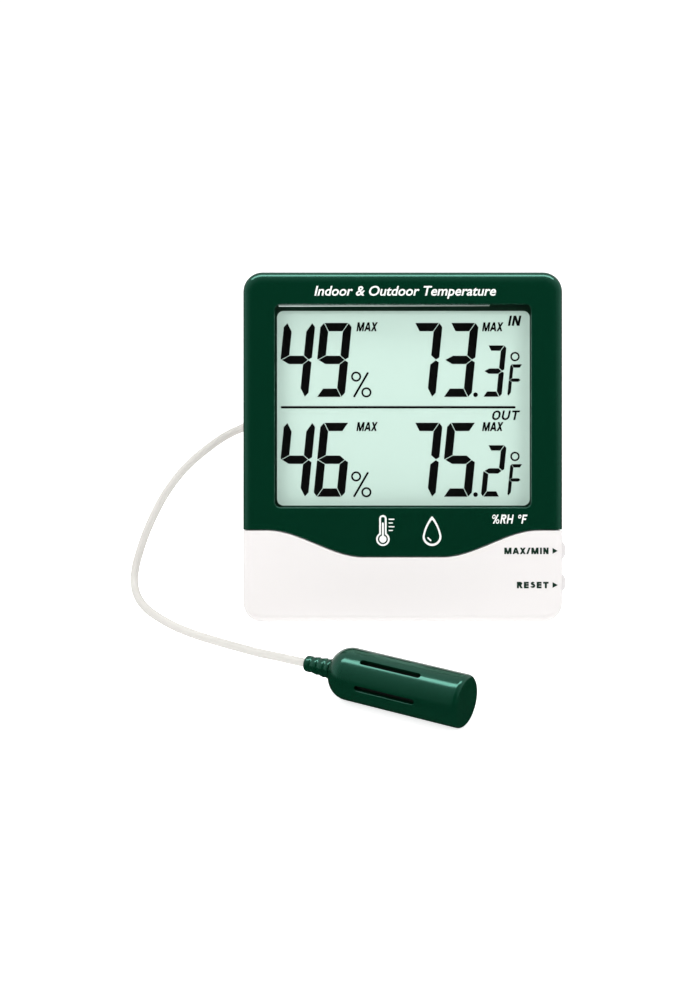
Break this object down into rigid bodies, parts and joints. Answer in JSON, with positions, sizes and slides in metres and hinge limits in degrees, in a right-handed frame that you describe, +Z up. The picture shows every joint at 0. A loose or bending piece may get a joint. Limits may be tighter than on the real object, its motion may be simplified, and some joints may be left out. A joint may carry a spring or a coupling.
{
  "type": "maximum minimum thermometer",
  "caption": "Digital maximum minimum thermometer and hygrometer: leaning display case with a tilt stand, side buttons and a wired outdoor probe.",
  "frame": {"origin": "middle of the flat foot under the case, on the surface that the case stands on", "axes": "+Z up, +X to the right as seen from the front, -Y towards the viewer; the display face leans back 20 degrees about X"},
  "size_m": [0.1391, 0.1232, 0.1058],
  "materials": {
    "green_gloss_plastic": "glossy dark green",
    "off_white_plastic": "satin off-white",
    "button_plastic": "satin light grey",
    "window_acrylic": "clear polished",
    "lcd_glass": "pale green reflective display",
    "zebra_rubber": "matt",
    "circuit_board": "green solder mask",
    "chip_resin": "black",
    "plated_steel": "nickel plated",
    "sensor_body": "light grey",
    "thermistor_bead": "black epoxy",
    "battery_jacket": "glossy printed jacket, left plain",
    "red_wire": "satin",
    "black_wire": "satin",
    "lead_jacket": "satin off-white"
  },
  "bodies": {
    "case": {"front_housing": "off_white_plastic", "face_bezel": "green_gloss_plastic", "rear_cover": "off_white_plastic", "case_screw_1": "plated_steel", "case_screw_2": "plated_steel", "case_screw_3": "plated_steel", "case_screw_4": "plated_steel", "display_window": "window_acrylic", "lcd_panel": "lcd_glass", "zebra_connector": "zebra_rubber", "main_pcb": "circuit_board", "pcb_screw_1": "plated_steel", "pcb_screw_2": "plated_steel", "pcb_screw_3": "plated_steel", "controller_chip": "chip_resin", "clock_crystal": "plated_steel", "indoor_humidity_sensor": "sensor_body", "indoor_thermistor": "thermistor_bead", "tact_switch_max_min": "chip_resin", "tact_switch_reset": "chip_resin", "unit_switch_body": "plated_steel", "battery_cell": "battery_jacket", "battery_positive_plate": "plated_steel", "battery_negative_plate": "plated_steel", "battery_spring": "plated_steel", "battery_wire_positive": "red_wire", "battery_wire_negative": "black_wire", "cable_grommet": "lead_jacket", "probe_cable": "lead_jacket", "probe_boot": "green_gloss_plastic", "probe_shell": "green_gloss_plastic", "probe_end_cap": "green_gloss_plastic", "probe_pcb": "circuit_board", "probe_humidity_sensor": "sensor_body", "probe_thermistor": "thermistor_bead"},
    "max_min_key": {"max_min_button": "button_plastic", "switch_plunger_max_min": "sensor_body"},
    "reset_key": {"reset_button": "button_plastic", "switch_plunger_reset": "sensor_body"},
    "units_knob": {"unit_switch_knob": "chip_resin"},
    "door": {"battery_door": "off_white_plastic"},
    "stand": {"tilt_stand": "off_white_plastic"}
  },
  "joints": [
    {"name": "stand_fold", "type": "hinge", "parent": "case", "child": "stand", "pos_m": [0, 0.02125, 0.05283], "axis": [1, 0, 0], "range_deg": [-30, 0]},
    {"name": "max_min_press", "type": "slide", "parent": "case", "child": "max_min_key", "axis": [-1, 0, 0], "range_m": [0, 0.0006], "stiffness_N_per_m": 800},
    {"name": "reset_press", "type": "slide", "parent": "case", "child": "reset_key", "axis": [-1, 0, 0], "range_m": [0, 0.0006], "stiffness_N_per_m": 800},
    {"name": "units_slide", "type": "slide", "parent": "case", "child": "units_knob", "axis": [1, 0, 0], "range_m": [0, 0.002]},
    {"name": "battery_door_swing", "type": "hinge", "parent": "case", "child": "door", "pos_m": [0, 0.02626, 0.06133], "axis": [-1, 0, 0], "range_deg": [0, 90]}
  ]
}
